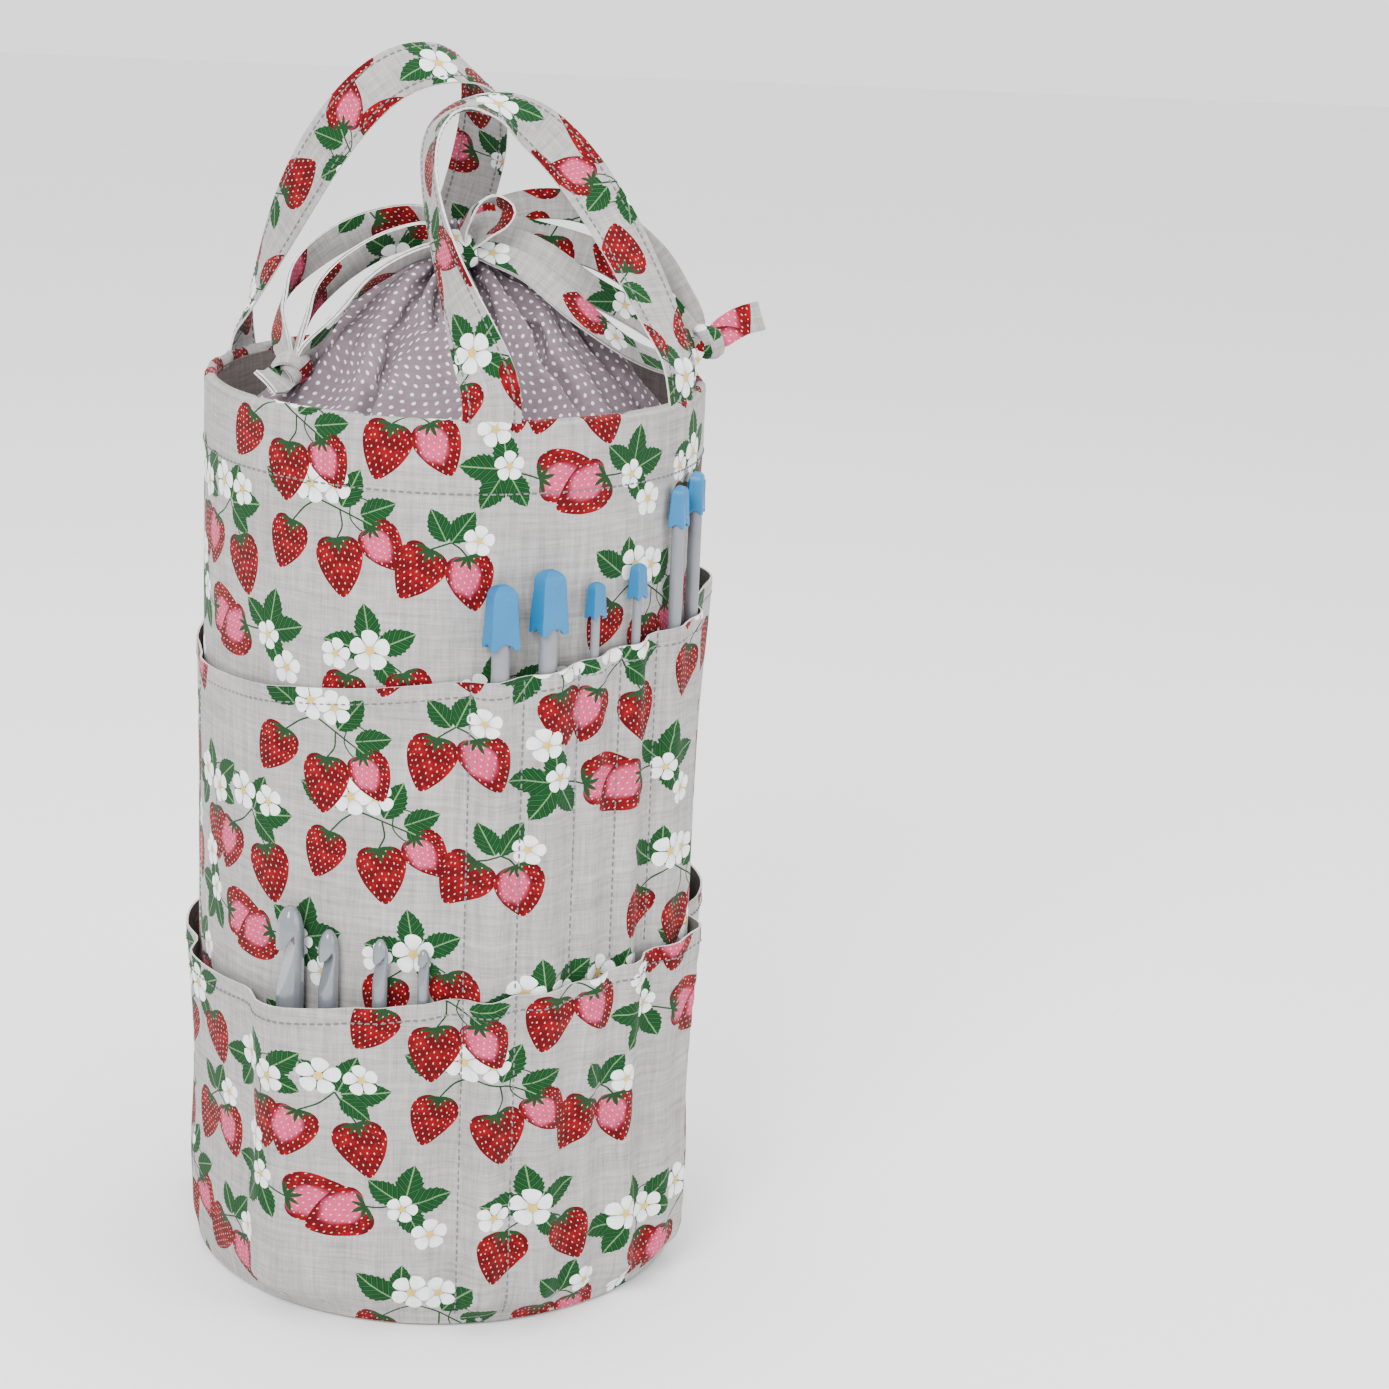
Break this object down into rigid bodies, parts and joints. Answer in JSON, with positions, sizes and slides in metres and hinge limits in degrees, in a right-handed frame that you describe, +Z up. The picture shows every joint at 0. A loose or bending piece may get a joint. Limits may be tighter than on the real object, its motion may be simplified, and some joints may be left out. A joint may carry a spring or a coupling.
{
  "type": "knitting bag",
  "caption": "Upright round fabric knitting bag with two tiers of outside pockets, carrying handles, a gathered drawstring collar, knitting needles and crochet hooks.",
  "frame": {"origin": "centre of the underside of the base, on the surface the bag stands on", "axes": "+Z up along the bag, -Y towards the front, +X to the right seen from the front"},
  "size_m": [0.2476, 0.2447, 0.5371],
  "materials": {
    "print_fabric": "slubby linen-look canvas with a berry, leaf and blossom print",
    "dotted_fabric": "fine mauve cotton with small white dots",
    "lining_fabric": "plain brown-grey woven lining",
    "interlining": "stiff felt interlining",
    "base_board": "plain stiffening board",
    "cap_plastic": "satin bright blue",
    "needle_plastic": "satin light grey",
    "hook_plastic": "smooth glossy grey"
  },
  "bodies": {
    "bag": {"outer_shell": "print_fabric", "rim_facing": "print_fabric", "wall_interlining": "interlining", "lining_wall": "lining_fabric", "base_panel": "print_fabric", "base_board": "base_board", "lining_base": "lining_fabric", "upper_pocket_panel": "print_fabric", "lower_pocket_panel": "print_fabric", "gathered_collar": "dotted_fabric", "collar_frill": "dotted_fabric", "centre_knot": "print_fabric", "handle_front_tab_1": "print_fabric", "handle_front_tab_2": "print_fabric", "handle_back_tab_1": "print_fabric", "handle_back_tab_2": "print_fabric"},
    "handle_front": {"handle_front": "print_fabric"},
    "handle_back": {"handle_back": "print_fabric"},
    "tapes_left": {"tape_left_back": "print_fabric", "tape_left_middle": "print_fabric", "tape_left_front": "print_fabric", "knot_left": "print_fabric", "tail_left": "print_fabric"},
    "tapes_right": {"tape_right_back": "print_fabric", "tape_right_upper": "print_fabric", "tape_right_middle": "print_fabric", "tape_right_front": "print_fabric", "knot_right": "print_fabric", "tail_right": "print_fabric"},
    "needle_1": {"needle_shaft_1": "needle_plastic", "needle_cap_1": "cap_plastic"},
    "needle_2": {"needle_shaft_2": "needle_plastic", "needle_cap_2": "cap_plastic"},
    "needle_3": {"needle_shaft_3": "needle_plastic", "needle_cap_3": "cap_plastic"},
    "needle_4": {"needle_shaft_4": "needle_plastic", "needle_cap_4": "cap_plastic"},
    "needle_5": {"needle_shaft_5": "needle_plastic", "needle_cap_5": "cap_plastic"},
    "needle_6": {"needle_shaft_6": "needle_plastic", "needle_cap_6": "cap_plastic"},
    "hook_1": {"crochet_hook_1": "hook_plastic"},
    "hook_2": {"crochet_hook_2": "hook_plastic"},
    "hook_3": {"crochet_hook_3": "hook_plastic"},
    "hook_4": {"crochet_hook_4": "hook_plastic"}
  },
  "joints": [
    {"name": "handle_front_fold", "type": "hinge", "parent": "bag", "child": "handle_front", "pos_m": [0.0548, -0.07543, 0.412], "axis": [-0.809, -0.5878, 0], "range_deg": [-120, 0]},
    {"name": "handle_back_fold", "type": "hinge", "parent": "bag", "child": "handle_back", "pos_m": [-0.0548, 0.07543, 0.412], "axis": [0.809, 0.5878, 0], "range_deg": [-120, 0]},
    {"name": "tapes_left_lift", "type": "hinge", "parent": "bag", "child": "tapes_left", "pos_m": [0, -0.01, 0.458], "axis": [0, 1, 0], "range_deg": [0, 20]},
    {"name": "tapes_right_lift", "type": "hinge", "parent": "bag", "child": "tapes_right", "pos_m": [0, -0.01, 0.458], "axis": [0, -1, 0], "range_deg": [0, 9]},
    {"name": "needle_1_draw", "type": "slide", "parent": "bag", "child": "needle_1", "axis": [0, 0, 1], "range_m": [0, 0.31]},
    {"name": "needle_2_draw", "type": "slide", "parent": "bag", "child": "needle_2", "axis": [0, 0, 1], "range_m": [0, 0.31]},
    {"name": "needle_3_draw", "type": "slide", "parent": "bag", "child": "needle_3", "axis": [0, 0, 1], "range_m": [0, 0.31]},
    {"name": "needle_4_draw", "type": "slide", "parent": "bag", "child": "needle_4", "axis": [0, 0, 1], "range_m": [0, 0.31]},
    {"name": "needle_5_draw", "type": "slide", "parent": "bag", "child": "needle_5", "axis": [0, 0, 1], "range_m": [0, 0.31]},
    {"name": "needle_6_draw", "type": "slide", "parent": "bag", "child": "needle_6", "axis": [0, 0, 1], "range_m": [0, 0.31]},
    {"name": "hook_1_draw", "type": "slide", "parent": "bag", "child": "hook_1", "axis": [0, 0, 1], "range_m": [0, 0.155]},
    {"name": "hook_2_draw", "type": "slide", "parent": "bag", "child": "hook_2", "axis": [0, 0, 1], "range_m": [0, 0.155]},
    {"name": "hook_3_draw", "type": "slide", "parent": "bag", "child": "hook_3", "axis": [0, 0, 1], "range_m": [0, 0.155]},
    {"name": "hook_4_draw", "type": "slide", "parent": "bag", "child": "hook_4", "axis": [0, 0, 1], "range_m": [0, 0.155]}
  ]
}
